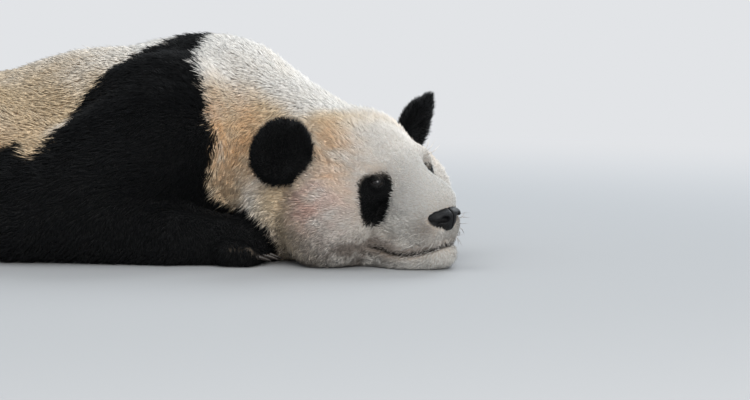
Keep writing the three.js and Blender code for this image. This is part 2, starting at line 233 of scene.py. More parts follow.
# the shared frame is the body's frame in metres, moved so that the eyes come to the solids' eyes
eye_corners = [np.array(corner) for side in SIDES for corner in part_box(f"eye_{side}")]
eye_middle = sum(eye_corners, np.zeros(3)) / len(eye_corners)
SHIFT = eye_middle / MM - from_frame([EYE_AT[0], 0, EYE_AT[2]], HEAD)


def to_shared(p):
    return (np.asarray(p, float) + SHIFT) * MM


# ---- head
skull = blend(
    26,
    egg([-14, 0, 137], [112, 110, 102]),
    both_sides(20, egg([10, 87, 92], [81, 72, 81])),  # cheeks
    both_sides(26, egg([-20, 40, 177], [54, 46, 56])),  # temples
    limb([58, 0, 168], [157, 0, 100], 44, 28),  # bridge of the nose
    both_sides(10, egg([132, 22, 106], [41, 27, 27])),  # its sides
    both_sides(12, egg([64, 48, 145], [37, 38, 36])),  # brows
)
muzzle = blend(
    12,
    egg([112, 0, 74], [72, 54, 45]),
    both_sides(10, egg([138, 22, 64], [40, 28, 33])),  # whisker pads
    both_sides(12, egg([98, 32, 30], [56, 30, 30])),  # sides of the jaw
    egg([130, 0, 26], [48, 40, 30]),  # chin
)
throat = egg([14, 0, 50], [98, 92, 58])
sockets = both_sides(4, egg([EYE_AT[0] + 20, EYE_AT[1] + 9, EYE_AT[2] + 3], [28, 27, 22]))
head_own = carve(12, blend(16, skull, muzzle, throat), sockets)
head_form = nearby(placed(head_own, HEAD), [from_frame([x, 0, 120], HEAD) for x in (-80, 130)], 150)
ear_oval = egg([0, 0, 0], [EAR_THICKNESS, EAR_RADIUS, EAR_RADIUS])
ear_dish = egg([EAR_THICKNESS + 12, 0, -4], [24, EAR_RADIUS - 14, EAR_RADIUS - 12])
ear_tip = egg([0, -3, 41], [12, 30, 30])  # the left ear is drawn out to a soft tip
ear_shells = {"left": carve(8, blend(6, ear_oval, ear_tip), ear_dish), "right": carve(8, ear_oval, ear_dish)}
ear_places = {side: ear_frame(sign) for side, sign in SIDES.items()}
ear_forms = {
    side: nearby(placed(ear_shells[side], place), [place[:3, 3]], EAR_RADIUS + 20)
    for side, place in ear_places.items()
}

# ---- body
backbone = blend(
    60,
    egg([-50, 0, 160], [225, 215, 170]),  # chest
    egg([-385, 0, 140], [325, 292, 152]),  # belly and back
    egg([-670, 0, 158], [222, 250, 162]),  # rump
    both_sides(40, egg([-772, 112, 122], [112, 118, 126])),  # buttocks
    egg([-195, 0, 186], [188, 155, 146]),  # behind the shoulder blades
    egg([-14, 0, 262], [118, 105, 90]),  # withers
)
nape = blend(30, limb([44, 0, 202], [212, -45, 129], 132, 122), egg([168, -48, 92], [88, 156, 96]))
tail_form = limb(TAIL_FROM, TAIL_TO, 46, 32)


def toe_places(root, tip, front):
    root, tip = np.array(root, float), np.array(tip, float)
    ahead = (tip - root) * [1, 1, 0]
    ahead /= math.hypot(*ahead)
    across = np.array([-ahead[1], ahead[0], 0])
    places = []
    for n in range(TOES):
        spread = (n - (TOES - 1) / 2) / ((TOES - 1) / 2)
        out = across * spread * (front - 2)
        reach = front * (0.78 - 0.3 * spread * spread)
        knuckle = tip + out + ahead * (reach - 22)
        end = tip + 1.06 * out + ahead * reach
        knuckle[2], end[2] = 26, 19
        places.append((knuckle, end, ahead, spread))
    return places


def paw(root, tip, palm, front):
    toes = [limb(knuckle, end, 23, 19) for knuckle, end, _, _ in toe_places(root, tip, front)]
    return blend(12, limb(root, tip, palm, front), blend(16, *toes))


def pair_of_legs(joints, upper_radii, reach, muscle, lower_radii, softness, palm, front):
    """The upper and lower forms of a pair of legs by side, and the two lower ones as one form."""
    pair = {}
    for name, side in SIDES.items():
        root, bend, ankle, toes = (on_side(side, p) for p in joints)
        bulge = egg(on_side(side, muscle[0]), muscle[1])
        upper = blend(30, limb(root, bend, *upper_radii), bulge)
        shaft = limb(between(bend, ankle, 0.22), ankle, *lower_radii)
        lower = blend(softness, shaft, paw(ankle, toes, palm, front))
        pair[name] = nearby(upper, [root, bend], reach), nearby(lower, [bend, ankle, toes], 80)
    return pair, blend(4, *(leg[1] for leg in pair.values()))


upper_arm = [-25, 128, 216], [128, 84, 112]
thigh = [-640, 172, 140], [172, 112, 132]
forelegs, lower_fore = pair_of_legs(FORE_JOINTS, (104, 82), 125, upper_arm, (72, 52), 10, 53, FORE_PALM)
hindlegs, lower_hind = pair_of_legs(HIND_JOINTS, (118, 96), 145, thigh, (78, 52), 30, 49, HIND_PALM)
torso = blend(
    34,
    blend(50, backbone, nape),
    *(leg[0] for leg in forelegs.values()),
    *(leg[0] for leg in hindlegs.values()),
    tail_form,
)
body_form = blend(26, torso, head_form)
ears = blend(4, *ear_forms.values())


def ripple(p, size, seed, octaves=3):
    """Smooth noise about -1 to 1 from a few sine waves in seeded directions."""
    rng = np.random.default_rng(seed)
    total = np.zeros(p.shape[:-1])
    for octave in range(octaves):
        for _ in range(4):
            wave = rng.normal(size=3)
            wave *= 2 * math.pi * 1.7**octave / size / np.linalg.norm(wave)
            total += np.sin(p @ wave + rng.uniform(0, 6.3)) * 0.6**octave
    return total / 3.2


# ---- the skin under the coat
# the line where the lips meet, in the head's frame: x, z
MOUTH = [(56, 47), (78, 41), (95, 36), (115, 32), (133, 30), (150, 31), (165, 35), (176, 40), (186, 45)]


def curve(table, x):
    return np.interp(x, [row[0] for row in table], [row[1] for row in table])


def over_lips(h):
    """How far a place in the head's frame lies above the line where the lips meet."""
    return h[..., 2] - curve(MOUTH, h[..., 0])


def from_eye(h):
    """How far a place in the head's frame is from the middle of the eye on its own side."""
    return length(folded(h) - EYE_AT)


def coat_depth(p):
    """How far the tips of the lying coat reach above the skin."""
    h = to_frame(p, HEAD)
    near_head = smooth(30, -20, head_form(p))
    face = smooth(30, 110, h[..., 0] - 0.15 * np.abs(h[..., 1]))
    head = 9.0 - 4.6 * face
    head = head * (0.25 + 0.75 * smooth(16, 44, from_eye(h)))
    limbs = np.minimum(lower_fore(p), lower_hind(p))
    depth = 10 + (head - 10) * near_head
    depth = np.minimum(depth, 5 + 5 * smooth(-6, 40, limbs))
    depth = np.minimum(depth, 6.5 + 6 * smooth(0, 30, ears(p)))
    return depth * (0.08 + 0.92 * smooth(4, 60, p[..., 2]))


SWELLINGS = [  # height, middle, width: the whisker pads, the hollows behind them, the brows
    (1.8, [150, 27, 66], 17),
    (-2.0, [112, 46, 88], 18),
    (1.6, [74, 62, 168], 14),
]


def face_relief(h):
    """Folds and swellings of the bare face, outwards, in the head's frame."""
    x, y, z = h[..., 0], np.abs(h[..., 1]), h[..., 2]
    front = smooth(62, 84, x)
    lip = over_lips(h)
    on_muzzle = front * smooth(78, 60, y)
    relief = (-5.0 + 2.6 * smooth(158, 178, x)) * bump(lip, 2.8) * on_muzzle  # between the lips
    sides = on_muzzle * smooth(176, 150, x)
    relief += 2.4 * bump(lip - 7, 5) * sides + 1.6 * bump(lip + 7, 4.5) * sides
    # the groove under the nose, and the furrow up the forehead
    relief += -3.2 * bump(y, 2.2) * smooth(150, 166, x) * smooth(84, 74, z) * smooth(-4, 4, lip)
    relief += -2.2 * bump(y, 9) * smooth(60, 90, x) * smooth(160, 120, x) * smooth(110, 130, z)
    for height, middle, width in SWELLINGS:
        relief += height * spot(folded(h), middle, width)
    return relief


# each eye looks outwards, a little up, through an almond slit between two lids
def eye_frame(side):
    look = np.array([0.80, side * 0.585, 0.13])
    look /= np.linalg.norm(look)
    across = np.cross([0, 0, 1], look)
    across /= np.linalg.norm(across)
    roll = side * 12 * DEG
    up = np.cross(look, across)
    across, up = across * math.cos(roll) + up * math.sin(roll), up * math.cos(roll) - across * math.sin(roll)
    place = np.eye(4)
    place[:3, 0], place[:3, 1], place[:3, 2], place[:3, 3] = look, across, up, on_side(side, EYE_AT)
    return place


EYE_PLACES = {side: eye_frame(sign) for side, sign in SIDES.items()}
SLIT_WIDE = 10.5
SLIT_HIGH = 3.8
LID = 2.2  # how thick the lids are over the eyeball
FAR = 99  # beyond any distance that counts here


def slit(e):
    """Half the height of the slit between the lids, and how far a place is from it, in the eye's frame."""
    half = SLIT_HIGH * (1 - np.minimum((e[..., 1] / SLIT_WIDE) ** 2, 1.6))
    return half, np.abs(e[..., 2] + 0.6) - half


def lids(p, skin):
    """The head's skin drawn over each eyeball and slit open along its lids."""
    for place in EYE_PLACES.values():
        e = to_frame(p, place)
        skin = melt(9, skin, length(e) - EYE_RADIUS - LID)
        half, gap = slit(e)
        crease = e[..., 2] - 0.9 * half - 5.2
        skin = skin + 1.5 * bump(crease, 1.5) * bump(length(e), 17)
        skin = -melt(1.6, -skin, np.maximum(gap, 2.5 - e[..., 0]))
    return skin


def slit_gap(p):
    """How far a place on the lids is from the slit between them."""
    gap = np.full(p.shape[:-1], float(FAR))
    for place in EYE_PLACES.values():
        e = to_frame(p, place)
        gap = np.where(length(e) < EYE_RADIUS + 7, slit(e)[1], gap)
    return gap


def skin_form(p):
    outer = blend(14, blend(24, body_form, lower_fore, lower_hind), ears)(p)
    d = outer + coat_depth(p)
    near = (d < 40) & (length(p - from_frame([70, 0, 90], HEAD)) < 190)
    if near.any():
        h = to_frame(p[near], HEAD)
        d[near] = lids(h, d[near] - face_relief(h))
    return -melt(5, -d, p[..., 2] - SKIN_FLOOR)


# ---- closed surfaces
def grid_lines(low, high, coarse, fine, start, end, ease=60):
    """Where a grid's lines stand along an axis: close together from start to end, and wider elsewhere."""
    lines = [low]
    while lines[-1] < high:
        x = lines[-1]
        away = max(start - x, x - end, 0) / ease
        lines.append(x + fine + (coarse - fine) * min(away, 1))
    return np.array(lines)


def sampled(form, axes, block=4):
    """The form at every node of a grid, worked out only near its surface."""
    coarse_axes = [np.append(a[::block], a[-1:]) for a in axes]
    coarse = np.stack(np.meshgrid(*coarse_axes, indexing="ij"), -1)
    rough = form(coarse.reshape(-1, 3)).reshape(coarse.shape[:3])
    nearest = [(np.arange(len(a)) + block // 2) // block for a in axes]
    value = rough[np.ix_(*(np.minimum(near, n - 1) for near, n in zip(nearest, rough.shape)))].copy()
    reach = 1.1 * block * max(np.diff(a).max() for a in axes)
    place = np.argwhere(np.abs(value) < reach)
    points = np.stack([axes[k][place[:, k]] for k in range(3)], -1)
    parts = np.array_split(points, max(1, len(points) // 150000))
    value[tuple(place.T)] = np.concatenate([form(part) for part in parts])
    value[value == 0] = 1e-9
    return value


def net(form, axes):
    """Points and four-sided faces of a form's closed surface, one point in each cell that it crosses."""
    value = sampled(form, axes)
    inside = value < 0
    shape = np.array(value.shape)
    low = [inside[tuple(slice(n, size - 1 + n) for n, size in zip(at, shape))] for at in np.ndindex(2, 2, 2)]
    count = sum(part.astype(np.int8) for part in low)
    active = (count > 0) & (count < 8)
    cells = np.argwhere(active)
    number = np.full(active.shape, -1)
    number[tuple(cells.T)] = np.arange(len(cells))
    total, hits = np.zeros((len(cells), 3)), np.zeros(len(cells))
    for axis in range(3):
        others = [k for k in range(3) if k != axis]
        for corner in np.ndindex(2, 2):
            start = cells.copy()
            start[:, others] += corner
            end = start + np.eye(3, dtype=int)[axis]
            a, b = value[tuple(start.T)], value[tuple(end.T)]
            hit = (a < 0) != (b < 0)
            share = np.where(hit, a / np.where(hit, a - b, 1), 0)
            for k in range(3):
                at = axes[k][start[:, k]]
                if k == axis:
                    at = at + share * (axes[k][end[:, k]] - at)
                total[:, k] += np.where(hit, at, 0)
            hits += hit
    points = total / hits[:, None]
    faces = []
    for axis in range(3):
        u, v = (axis + 1) % 3, (axis + 2) % 3
        a = inside.take(range(shape[axis] - 1), axis)
        b = inside.take(range(1, shape[axis]), axis)
        for out, sign in ((a & ~b, 1), (~a & b, -1)):
            crossed = np.argwhere(out)
            across = crossed[:, [u, v]]
            crossed = crossed[((across > 0) & (across < shape[[u, v]] - 1)).all(1)]
            ring = []
            for corner in ((1, 1), (0, 1), (0, 0), (1, 0))[:: -sign]:
                cell = crossed.copy()
                cell[:, [u, v]] -= corner
                ring.append(number[tuple(cell.T)])
            faces.append(np.stack(ring[::-1], -1))
    return points, np.concatenate(faces)


def slope_of(form, p, step=0.5):
    here = form(p)
    slope = np.stack([form(p + step * np.eye(3)[k]) - here for k in range(3)], -1) / step
    return here, slope


def settled(form, p, most=6.0, rounds=3):
    """Points moved down the form's slope onto its surface."""
    start = p.copy()
    for n in range(rounds):
        if n < 2:
            d, slope = slope_of(form, p)
        else:
            d = form(p)
        steep = np.maximum(np.einsum("ij,ij->i", slope, slope), 0.05)
        p = p - slope * (np.clip(d, -4, 4) / steep)[:, None]
    away = p - start
    far = np.maximum(length(away) / most, 1)
    return start + away / far[:, None]


# ---- markings, by place in the body's frame
# the edges of the band over the shoulders: z, x
BAND_FRONT = [(0, 150), (44, 134), (73, 96), (101, 68), (182, 78), (258, 68), (296, 39), (326, 12), (352, 0)]
BAND_REAR = [(0, -290), (60, -262), (128, -223), (143, -210), (181, -170), (211, -157), (247, -156),
             (283, -135), (317, -100), (341, -58), (352, -52)]
MID_THIGH = between(HIP_AT, KNEE_AT, 0.55)
black_hind = [
    blend(20, limb(on_side(sign, MID_THIGH), on_side(sign, KNEE_AT), 104, 116), hindlegs[side][1])
    for side, sign in SIDES.items()
]
# the patch round each eye, in the head's frame
PATCH_MIDDLE, PATCH_HALF_HIGH = 112.5, 42.5
PATCH_ACROSS, PATCH_SLANT = 22, 4.5
PATCH_HALF_WIDE, PATCH_NARROWS = 24.3, 7
PATCH_SQUARE = 3.4  # 2 is an oval, and more has fuller corners


def eye_patch(p):
    """Positive inside the black patch round each eye. The left one's outer top is cut off aslant."""
    h = to_frame(p, HEAD)
    x, y, z = h[..., 0], np.abs(h[..., 1]), h[..., 2]
    down = (PATCH_MIDDLE - z) / PATCH_HALF_HIGH
    across = 0.66 * y - 0.75 * x + PATCH_ACROSS - PATCH_SLANT * down
    out = np.abs(across / (PATCH_HALF_WIDE - PATCH_NARROWS * down)) ** PATCH_SQUARE
    out = (out + np.abs(down) ** PATCH_SQUARE) ** (1 / PATCH_SQUARE)
    patch = np.minimum((1 - out) * 24, np.minimum(x - 50, y - 20))
    patch = np.minimum(patch, np.where(h[..., 1] > 0, 133 - 0.85 * (y - 66) - z, FAR))
    rims = EYE_RADIUS + 3.5 - from_eye(h)
    return 2.6 * np.maximum(patch, rims)


def blackness(p, roots):
    """Positive inside the coat's black parts, about in millimetres, for hairs that reach from roots to p."""
    x, z = p[..., 0], p[..., 2]
    edge = 5 * ripple(p, 90, 3) + 2.5 * ripple(p, 24, 4)
    behind_front = curve(BAND_FRONT, z) - x
    band = np.minimum(behind_front, x - curve(BAND_REAR, z))
    black = np.maximum(np.minimum(band, 60), 14 - lower_fore(p))
    black = np.maximum(black, 96 - length(folded(p) - ELBOW_AT))
    for form in black_hind:
        black = np.maximum(black, 4 + 10 * smooth(150, 90, z) - form(p))
    black = np.where(head_form(p) < 20, np.minimum(black, behind_front), black)
    black = np.maximum(black + edge, 1.6 * (2 - ears(roots)) + 0.3 * edge)
    return np.maximum(black, eye_patch(p) + 0.25 * edge)


def colour(red, green, blue):
    """A colour from its everyday 0 to 255 values."""
    def linear(v):
        v /= 255
        return v / 12.92 if v < 0.04045 else ((v + 0.055) / 1.055) ** 2.4

    return (linear(red), linear(green), linear(blue), 1)


STAINS = [  # how strong, how strong on the left side, in the head's frame, middle, stretch, width
    (1.0, 1.0, False, [102, 176, 190], [0.95, 1.2, 1.2], 62),
    (0.6, 0.4, True, [14, 82, 206], [1.3, 1.1, 0.9], 40),
    (0.35, 0.4, True, [44, 118, 168], [1, 1, 1], 30),
    (0.3, 0.4, True, [48, 90, 150], [1, 1, 1], 60),
    (0.5, 1.0, False, [-260, 230, 150], [1.6, 1.2, 0.7], 70),
]
WHITE = colour(240, 237, 232)
# a duller white: the face's own neutral white, darkened further as painted shade
SHADED_IVORY = colour(207, 205, 201)
CREAM = colour(232, 212, 182)
# a darker sand, partly the coat's own tan and partly painted shade on the back
SAND_AND_SHADE = colour(206, 184, 152)
TAWNY = colour(238, 197, 152)
ROSY = colour(222, 188, 174)
# the muzzle's own grey round the mouth, also laid on low down as painted shade
GREY_DIRT_AND_SHADE = colour(146, 136, 128)
UNDERFUR = colour(190, 168, 146)
BLACK_FUR = colour(3, 4, 5)
BLACK_TIP = colour(8, 10, 13)


def pale_tone(p):
    """The pale coat's colour: cream on the neck and flanks and white above, that white top partly painted
    light; a duller white on the brow and a darker sand tone on the back, both partly painted shade; stained
    in places, dirty grey round the mouth, and darker low down as painted shade.
    """
    h = to_frame(p, HEAD)
    x, y, z = p[:, 0], np.abs(p[:, 1]), p[:, 2]
    ahead, high = h[:, 0], h[:, 2]
    off_head = head_form(p)
    tone = np.tile(np.array(WHITE), (len(p), 1))

    def wash(share, over):
        share = np.clip(share, 0, 1)[:, None]
        return tone * (1 - share) + np.array(over) * share

    # cream on the lower sides and white on top: the cream is the coat's own, and the whiter top is partly
    # painted light from above
    side = 330 - 52 * smooth(-60, 60, x)
    fall = smooth(100, 220, x)
    side = smooth(side - 45 * fall, 215 - 30 * fall, z - 0.25 * y)
    off_face = smooth(70, -20, ahead) * smooth(60, -30, -off_head - 40) + smooth(0, 30, off_head)
    cream = 0.02 + 0.8 * side**1.5 + (0.1 + 0.3 * side) * ripple(p, 110, 12)
    tone = wash(np.clip(cream, 0, 1) * np.clip(off_face, 0.12, 1), CREAM)
    # the back washed a darker sand, most on its sides: partly the coat's own tan, partly painted shade below
    # the back's lit top
    tone = wash(0.75 * smooth(-60, -220, x) * (0.45 + 0.55 * side), SAND_AND_SHADE)
    # the upper face washed a duller white: its own neutral white, made darker as painted shade on the brow
    # and bridge, which the lamps light most
    face_shade = smooth(20, 110, ahead) * smooth(50, 110, high) * (1 - 0.8 * smooth(158, 190, high))
    tone = wash(0.8 * smooth(12, -4, off_head) * face_shade, SHADED_IVORY)
    stain = np.zeros(len(p))
    for sign in (-1, 1):
        for strong, on_left, on_head, middle, stretch, width in STAINS:
            there = spot(h if on_head else p, on_side(sign, middle), width, stretch)
            stain += strong * (on_left if sign > 0 else 1.0) * there
    tone = wash(0.9 * stain * (0.9 + 0.5 * ripple(p, 60, 8) + 0.35 * ripple(p, 16, 14)), TAWNY)
    rosy = spot(h, [26, -156, 120], 38, [1.0, 1.0, 1.15])
    rosy += 0.4 * spot(h, [62, -118, 118], 40, [1.0, 1.0, 1.3])
    tone = wash(0.75 * rosy * (1 + 0.6 * ripple(p, 30, 13)), ROSY)
    # painted shade: the coat darker towards the floor, kept off the front of the face
    low = smooth(95, 20, z) * (0.7 + 0.5 * ripple(p, 45, 11) + 0.3 * ripple(p, 14, 15))
    lip = over_lips(h)
    on_lips = smooth(50, 80, ahead) * smooth(196, 150, ahead)
    snout = spot(folded(h), [168, 34, 70], 20, [1.3, 1.0, 0.9])
    dirt_and_low_shade = 0.80 * (low * smooth(140, 90, ahead)) + 0.85 * bump(lip - 5, 10) * on_lips
    return wash(dirt_and_low_shade + 0.2 * bump(lip + 8, 7) * on_lips + 0.8 * snout, GREY_DIRT_AND_SHADE)


# ---- the lie of the coat
def along_limb(p, joints):
    """Direction of the nearest length of a jointed limb."""
    best, away = None, None
    for a, b in zip(joints, joints[1:]):
        a, b = np.array(a, float), np.array(b, float)
        along = b - a
        t = np.clip((p - a) @ along / (along @ along), 0, 1)
        d = length(p - a - t[..., None] * along)
        way = np.broadcast_to(along / np.linalg.norm(along), p.shape)
        if best is None:
            best, away = way.copy(), d
        best[d < away] = way[d < away]
        away = np.minimum(away, d)
    return best


def turned(way, near, other):
    return way * (1 - near[..., None]) + near[..., None] * other


def lie_of_coat(p, normal):
    """Unit directions in which the hair lies, along the surface."""
    side = np.sign(p[..., 1:2])
    steep = np.abs(normal[..., 1:2])
    back = np.array([-1.0, 0, 0]) + steep * np.array([0, 0, -0.42])
    neck = np.array([-1.0, 0, -0.1]) + steep * np.array([0.45, 0, -0.75])
    way = turned(back, smooth(-40, 120, p[..., 0]), neck)
    rump = smooth(-700, -860, p[..., 0])[..., None]
    way = way + rump * (np.array([-0.2, 0, -1.1]) + side * np.array([0, 0.15, 0]))
    for s, sign in SIDES.items():
        for legs, joints, out, inside in ((forelegs, FORE_JOINTS, 14, -30), (hindlegs, HIND_JOINTS, 20, -40)):
            near = smooth(out, inside, legs[s][1](p))
            way = turned(way, near, along_limb(p, [on_side(sign, q) for q in joints]))
    way = turned(way, smooth(20, -20, tail_form(p)), unit(np.array(TAIL_TO, float) - TAIL_FROM))
    h = to_frame(p, HEAD)
    fall = smooth(150, 60, h[..., 2]) * smooth(90, 20, h[..., 0])
    from_nose = unit(h - [192, 0, 84]) + fall[..., None] * np.array([0.1, 0, -0.85])
    near = smooth(24, -6, head_form(p)) * smooth(-70, -10, h[..., 0])
    way = turned(way, near, from_nose @ HEAD[:3, :3].T)
    for s, place in ear_places.items():
        outwards = unit((to_frame(p, place) - [0, 0, -EAR_RADIUS * 0.5]) * [0.2, 1, 1])
        way = turned(way, smooth(6, -5, ear_forms[s](p)), outwards @ place[:3, :3].T)
    way = unit(way - normal * np.einsum("...i,...i->...", way, normal)[..., None])
    calm = 1 - 0.6 * smooth(20, 80, h[..., 0]) * smooth(20, 0, head_form(p))
    twist = calm * (0.30 * ripple(p, 120, 21) + 0.28 * ripple(p, 34, 22) + 0.32 * ripple(p, 13, 23))
    across = np.cross(normal, way)
    return way * np.cos(twist)[..., None] + across * np.sin(twist)[..., None]


# ---- building the skin
SKIN_AXES = [
    grid_lines(-985, 470, 11, 4.4, 190, 470),
    grid_lines(-445, 445, 11, 4.4, -240, 20),
    grid_lines(-12, 372, 7.5, 5, 0, 200),
]


def mesh_from(name, points, faces):
    mesh = bpy.data.meshes.new(name)
    mesh.from_pydata(points, [], faces)
    mesh.shade_smooth()
    return mesh


def rows_of(items, field, width=3):
    out = np.empty(len(items) * width)
    items.foreach_get(field, out)
    return out.reshape(-1, width)


@contextmanager
def edited(source, target):
    """The source's faces, open to changes, which then go into the target."""
    bm = bmesh.new()
    bm.from_mesh(source)
    bm.faces.ensure_lookup_table()
    yield bm
    bm.to_mesh(target)
    bm.free()


def refined(mesh, wanted, form):
    """Splits the faces whose middle is wanted and settles the new points on the form."""
    with edited(mesh, mesh) as bm:
        middle = np.array([f.calc_center_median() for f in bm.faces])
        edges = list({e for n in np.flatnonzero(wanted(middle)) for e in bm.faces[n].edges})
        old = len(bm.verts)
        bmesh.ops.subdivide_edges(bm, edges=edges, cuts=1, use_grid_fill=True)
    p = rows_of(mesh.vertices, "co")
    near = wanted(p) | (np.arange(len(p)) >= old)
    p[near] = settled(form, p[near])
    mesh.vertices.foreach_set("co", p.ravel())
    mesh.update()


def face_front(p):
    h = to_frame(p, HEAD)
    return (h[:, 0] > 66) & (head_form(p) < 8)


def near_features(p):
    h = to_frame(p, HEAD)
    eye = from_eye(h) < 23
    mouth = (np.abs(over_lips(h)) < 9) & (h[:, 0] > 62) & (np.abs(h[:, 1]) < 76)
    nose = length(h - NOSE_AT) < 36
    return (eye | mouth | nose) & (head_form(p) < 12)


points, faces = net(skin_form, SKIN_AXES)
points = settled(skin_form, points)
skin_mesh = mesh_from("skin", points.tolist(), faces.tolist())
refined(skin_mesh, face_front, skin_form)
refined(skin_mesh, near_features, skin_form)


def set_values(mesh, name, values, kind="FLOAT", domain="POINT"):
    layer = mesh.attributes.new(name, kind, domain)
    field = {"FLOAT": "value", "FLOAT_COLOR": "color"}.get(kind, "vector")
    layer.data.foreach_set(field, np.asarray(values, np.float32).ravel())


body_points = rows_of(skin_mesh.vertices, "co")
normals = rows_of(skin_mesh.vertices, "normal")
lie = lie_of_coat(body_points, normals)
on_head = smooth(10, -4, head_form(body_points))
head_points = to_frame(body_points, HEAD)
ahead, aside, high = head_points.T
lips = bump(over_lips(head_points), 6.5) * smooth(58, 80, ahead) * smooth(80, 66, np.abs(aside))
lips *= smooth(20, 0, head_form(body_points))
bare = np.maximum(lips, smooth(3.6, 1.4, slit_gap(head_points)))
around_nose = length((head_points - np.add(NOSE_AT, [0, 0, -5])) * [0.9, 0.8, 1.6])
bare = np.maximum(bare, smooth(28, 23, around_nose) * (ahead > 158))

# ---- kinds of coat, by region
# name: (hair length mm, hair width mm, lift above the skin in degrees, tufts on a square metre)
COATS = {
    "back": (22, 1.8, 17, 135000),
    "shoulder": (22, 2.0, 18, 115000),
    "neck": (19, 1.4, 20, 290000),
    "rump": (24, 1.9, 18, 118000),
    "leg": (18, 2.0, 20, 115000),
    "paw": (10, 1.6, 19, 200000),
    "crown": (16, 1.2, 22, 420000),
    "cheek": (20, 1.25, 25, 420000),
    "face": (12, 1.05, 20, 500000),
    "chin": (15, 1.3, 30, 330000),
    "ear": (11, 1.3, 30, 420000),
}


def coat_weights(p):
    """How much each kind of coat holds at a point, running softly into each other."""
    h = to_frame(p, HEAD)
    ahead, high, x = h[:, 0], h[:, 2], p[:, 0]
    head = smooth(16, -8, head_form(p)) * smooth(-95, -45, ahead)
    fore_toes, hind_toes = (length(folded(p) - q) for q in (FORE_TOES_AT, HIND_TOES_AT))
    leg = np.maximum(smooth(16, -14, lower_fore(p)), smooth(16, -14, lower_hind(p)))
    rows = {}
    left = np.ones(len(p))
    for name, share in (
        ("ear", smooth(5, -3, ears(p))),
        ("paw", np.maximum(smooth(120, 80, fore_toes), smooth(130, 90, hind_toes)) * leg),
        ("leg", leg),
        ("chin", head * smooth(70, 100, ahead) * smooth(-6, -14, over_lips(h))),
        ("face", head * smooth(34, 74, ahead + 0.1 * np.abs(h[:, 1]))),
        ("crown", head * smooth(110, 160, high)),
        ("cheek", head),
        ("neck", smooth(-60, 60, x)),
        ("shoulder", smooth(-330, -230, x)),
        ("rump", smooth(-560, -680, x)),
    ):
        rows[name] = share * left
        left = left * (1 - share)
    rows["back"] = left
    return rows


weights = coat_weights(body_points)
kinds = {key: sum(weights[name] * COATS[name][n] for name in COATS)
         for n, key in enumerate(("long", "wide", "lift", "dense"))}
eye_near = smooth(14, 32, from_eye(head_points))
kinds["long"] *= 0.35 + 0.65 * eye_near
kinds["wide"] *= 0.6 + 0.4 * eye_near
kinds["long"] *= 1 - 0.35 * (smooth(60, 130, ahead) * on_head)
under = smooth(0.97, 0.8, -normals[:, 2]) * smooth(1.2, 6, body_points[:, 2])
kinds["dense"] *= (1 - 0.97 * bare) * (0.04 + 0.96 * under)
kinds["lift"] *= 1 + 0.35 * ripple(body_points, 15, 24)
bridge = smooth(118, 140, high + 0.35 * ahead - 20) * smooth(30, 80, ahead)
kinds["long"] *= 1 - 0.28 * bridge * on_head

reach = 0.5 + 0.45 * on_head
black = blackness(body_points + lie * (reach * kinds["long"])[:, None], body_points)
set_values(skin_mesh, "tone", pale_tone(body_points), "FLOAT_COLOR")
set_values(skin_mesh, "lie", lie, "FLOAT_VECTOR")
set_values(skin_mesh, "mask", smooth(-9, 9, black))
set_values(skin_mesh, "bare", bare)
for key, measure in (("long", MM), ("wide", MM), ("lift", DEG), ("dense", 1)):
    set_values(skin_mesh, "hair_" + key, kinds[key] * measure)
skin_mesh.vertices.foreach_set("co", to_shared(body_points).ravel())
skin_mesh.update()


# ---- materials
def with_settings(item, **settings):
    for key, value in settings.items():
        setattr(item, key, value)
    return item


def new_node(tree, kind, **settings):
    return with_settings(tree.nodes.new(kind), **settings)


def give(tree, sockets, *given):
    """Each socket gets a link or a constant value."""
    for socket, value in zip(sockets, given):
        if isinstance(value, bpy.types.NodeSocket):
            tree.links.new(value, socket)
        elif value is not None:
            socket.default_value = value


class Nodes:
    """The nodes of a material or of the world, made and joined by name."""

    def __init__(self, owner, end="OutputMaterial"):
        owner.use_nodes = True
        self.owner, self.tree = owner, owner.node_tree
        self.tree.nodes.clear()
        self.out = self.add(end)

    def add(self, kind, **settings):
        return new_node(self.tree, "ShaderNode" + kind, **settings)

    def give(self, sockets, *given):
        give(self.tree, sockets, *given)

    def made(self, kind, *given, **settings):
        """The first output of a new node whose inputs are given."""
        node = self.add(kind, **settings)
        self.give(node.inputs, *given)
        return node.outputs[0]

    def value(self, name, output="Fac"):
        return self.add("Attribute", attribute_name=name).outputs[output]

    def mix(self, share, a, b, how="MIX"):
        node = self.add("Mix", data_type="RGBA", blend_type=how)
        self.give([node.inputs[n] for n in (0, 6, 7)], share, a, b)
        return node.outputs[2]

    def math(self, how, a, b):
        return self.made("Math", a, b, operation=how)

    def ramp(self, x, low, high, start=0.0, end=1.0, kind="SMOOTHSTEP"):
        return self.made("MapRange", x, low, high, start, end, interpolation_type=kind)

    def grey(self, value):
        return self.made("CombineColor", value, value, value)

    def noise(self, scale, detail=3.0, rough=0.6, stretch=None):
        where = self.add("TexCoord").outputs["Object"]
        if stretch:
            where = self.made("Mapping", where, None, None, stretch)
        node = self.add("TexNoise")
        sockets = [node.inputs[key] for key in ("Vector", "Scale", "Detail", "Roughness")]
        self.give(sockets, where, scale, detail, rough)
        return node.outputs[0]

    def either(self, share, a, b):
        self.give([self.out.inputs["Surface"]], self.made("MixShader", share, a, b))

    def finish(self, base, rough, bump_height=None, bump_distance=0.001, **fixed):
        shader = self.add("BsdfPrincipled")
        self.give([shader.inputs["Base Color"], shader.inputs["Roughness"]], base, rough)
        for key, value in fixed.items():
            shader.inputs[key.replace("_", " ")].default_value = value
        if bump_height is not None:
            node = self.add("Bump")
            self.give([node.inputs["Distance"], node.inputs["Height"]], bump_distance, bump_height)
            self.give([shader.inputs["Normal"]], node.outputs[0])
        self.give([self.out.inputs["Surface"]], shader.outputs[0])
        return self.owner


def material_nodes(name):
    return Nodes(bpy.data.materials.new(name))


